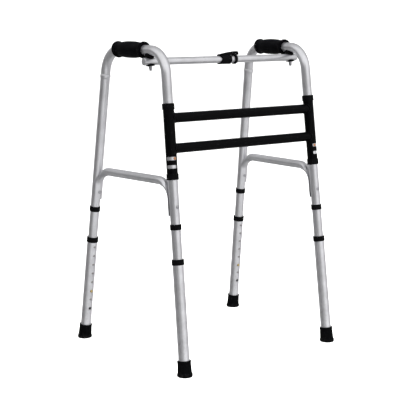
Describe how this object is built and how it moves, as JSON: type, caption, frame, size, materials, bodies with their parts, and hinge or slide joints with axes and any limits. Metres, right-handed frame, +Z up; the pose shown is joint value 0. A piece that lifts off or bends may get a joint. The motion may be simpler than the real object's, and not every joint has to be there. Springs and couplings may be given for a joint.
{
  "type": "folding walker",
  "caption": "Aluminium walking frame with two side frames that fold in or step in turn, height-adjustable legs, hand grips and a folding top brace.",
  "frame": {"origin": "on the floor, in the middle of the four feet", "axes": "+Z up, -Y to the front (the black crossbars), +X to the user's right when facing the front"},
  "size_m": [0.5762, 0.4839, 0.8278],
  "materials": {
    "aluminium": "satin anodised tube",
    "black_paint": "black powder coat",
    "black_plastic": "moulded black",
    "grip_rubber": "satin moulded grip",
    "rubber": "matt black rubber",
    "brass": "plain",
    "copper": "copper coloured",
    "zinc_steel": "zinc plated",
    "spring_steel": "plain"
  },
  "bodies": {
    "front_frame": {"sleeve_left": "black_paint", "sleeve_right": "black_paint", "crossbar_upper": "black_paint", "crossbar_lower": "black_paint"},
    "bushes_left": {"bush_upper_left": "black_plastic", "bush_lower_left": "black_plastic"},
    "side_left": {"side_tube_left": "aluminium", "rear_leg_tube_left": "aluminium", "side_brace_left": "aluminium", "side_rivet_front_left": "zinc_steel", "side_rivet_rear_left": "zinc_steel", "grip_left": "grip_rubber", "stop_collar_front_left": "black_plastic", "stop_collar_rear_left": "black_plastic", "stop_pin_left": "copper", "rail_saddle_left": "black_plastic", "snap_spring_front_left": "spring_steel", "snap_spring_rear_left": "spring_steel"},
    "leg_front_left": {"leg_tube_front_left": "aluminium", "leg_collar_front_left": "black_plastic", "foot_front_left": "rubber"},
    "button_front_left": {"snap_button_front_left": "brass"},
    "leg_rear_left": {"leg_tube_rear_left": "aluminium", "leg_collar_rear_left": "black_plastic", "foot_rear_left": "rubber"},
    "button_rear_left": {"snap_button_rear_left": "brass"},
    "bushes_right": {"bush_upper_right": "black_plastic", "bush_lower_right": "black_plastic"},
    "side_right": {"side_tube_right": "aluminium", "rear_leg_tube_right": "aluminium", "side_brace_right": "aluminium", "side_rivet_front_right": "zinc_steel", "side_rivet_rear_right": "zinc_steel", "grip_right": "grip_rubber", "stop_collar_front_right": "black_plastic", "stop_collar_rear_right": "black_plastic", "stop_pin_right": "copper", "rail_saddle_right": "black_plastic", "snap_spring_front_right": "spring_steel", "snap_spring_rear_right": "spring_steel"},
    "leg_front_right": {"leg_tube_front_right": "aluminium", "leg_collar_front_right": "black_plastic", "foot_front_right": "rubber"},
    "button_front_right": {"snap_button_front_right": "brass"},
    "leg_rear_right": {"leg_tube_rear_right": "aluminium", "leg_collar_rear_right": "black_plastic", "foot_rear_right": "rubber"},
    "button_rear_right": {"snap_button_rear_right": "brass"},
    "bolt_left": {"brace_bolt_left": "zinc_steel"},
    "bar_left": {"brace_tube_left": "aluminium", "hinge_housing": "black_plastic", "upper_bar_saddle_left": "black_plastic", "lower_bar_saddle_left": "black_plastic"},
    "bar_right": {"brace_tube_right": "aluminium", "hinge_ring": "black_plastic", "hinge_pin": "zinc_steel", "upper_bar_saddle_right": "black_plastic", "lower_bar_saddle_right": "black_plastic", "brace_bolt_right": "zinc_steel"},
    "lever": {"lock_lever": "black_plastic"}
  },
  "joints": [
    {"name": "step_left", "type": "hinge", "parent": "front_frame", "child": "bushes_left", "pos_m": [-0.2457, -0.22281, 0], "axis": [-0.0175, -0.1207, -0.9925], "range_deg": [-8, 8]},
    {"name": "fold_left", "type": "hinge", "parent": "bushes_left", "child": "side_left", "pos_m": [-0.2457, -0.22281, 0], "axis": [-0.0175, -0.1207, -0.9925], "range_deg": [0, 76]},
    {"name": "step_right", "type": "hinge", "parent": "front_frame", "child": "bushes_right", "pos_m": [0.2457, -0.22281, 0], "axis": [0.0175, -0.1207, -0.9925], "range_deg": [-8, 8]},
    {"name": "fold_right", "type": "hinge", "parent": "bushes_right", "child": "side_right", "pos_m": [0.2457, -0.22281, 0], "axis": [-0.0175, 0.1207, 0.9925], "range_deg": [0, 53.2]},
    {"name": "bolt_turn_left", "type": "hinge", "parent": "side_left", "child": "bolt_left", "pos_m": [-0.23468, -0.06543, 0.77827], "axis": [0, 0.1207, 0.9927], "range_deg": [-8, 8]},
    {"name": "bar_turn_left", "type": "hinge", "parent": "bolt_left", "child": "bar_left", "pos_m": [-0.23468, -0.06543, 0.77827], "axis": [0, 0.1207, 0.9927], "range_deg": [0, 44]},
    {"name": "bar_fold", "type": "hinge", "parent": "bar_left", "child": "bar_right", "pos_m": [0.0245, -0.06543, 0.77827], "axis": [0, 0.1207, 0.9927], "range_deg": [0, 82]},
    {"name": "lever_lift", "type": "hinge", "parent": "bar_left", "child": "lever", "pos_m": [-0.0135, -0.06399, 0.79019], "axis": [0, -0.9927, 0.1207], "range_deg": [0, 15], "stiffness_Nm_per_rad": 0.4, "springref_deg": -5.73},
    {"name": "leg_slide_front_left", "type": "slide", "parent": "side_left", "child": "leg_front_left", "axis": [-0.0175, -0.1207, -0.9925], "range_m": [-0.0254, 0.127]},
    {"name": "button_press_front_left", "type": "slide", "parent": "side_left", "child": "button_front_left", "axis": [0.0531, -0.9914, 0.1196], "range_m": [0, 0.004], "stiffness_N_per_m": 1500, "springref_m": -0.001, "deforming": ["snap_spring_front_left"]},
    {"name": "leg_slide_rear_left", "type": "slide", "parent": "side_left", "child": "leg_rear_left", "axis": [-0.0301, 0.1292, -0.9912], "range_m": [-0.0254, 0.127]},
    {"name": "button_press_rear_left", "type": "slide", "parent": "side_left", "child": "button_rear_left", "axis": [-0.0471, 0.9903, 0.1305], "range_m": [0, 0.004], "stiffness_N_per_m": 1500, "springref_m": -0.001, "deforming": ["snap_spring_rear_left"]},
    {"name": "leg_slide_front_right", "type": "slide", "parent": "side_right", "child": "leg_front_right", "axis": [0.0175, -0.1207, -0.9925], "range_m": [-0.0254, 0.127]},
    {"name": "button_press_front_right", "type": "slide", "parent": "side_right", "child": "button_front_right", "axis": [-0.0531, -0.9914, 0.1196], "range_m": [0, 0.004], "stiffness_N_per_m": 1500, "springref_m": -0.001, "deforming": ["snap_spring_front_right"]},
    {"name": "leg_slide_rear_right", "type": "slide", "parent": "side_right", "child": "leg_rear_right", "axis": [0.0301, 0.1292, -0.9912], "range_m": [-0.0254, 0.127]},
    {"name": "button_press_rear_right", "type": "slide", "parent": "side_right", "child": "button_rear_right", "axis": [0.0471, 0.9903, 0.1305], "range_m": [0, 0.004], "stiffness_N_per_m": 1500, "springref_m": -0.001, "deforming": ["snap_spring_rear_right"]}
  ],
  "couplings": [
    {"joint": "step_right", "follows": "step_left", "ratio": 1},
    {"joint": "bolt_turn_left", "follows": "step_left", "ratio": 1},
    {"joint": "fold_right", "follows": "fold_left", "ratio": 0.7},
    {"joint": "bar_turn_left", "follows": "fold_left", "ratio": 0.57782},
    {"joint": "bar_fold", "follows": "fold_left", "ratio": 1.0749}
  ]
}
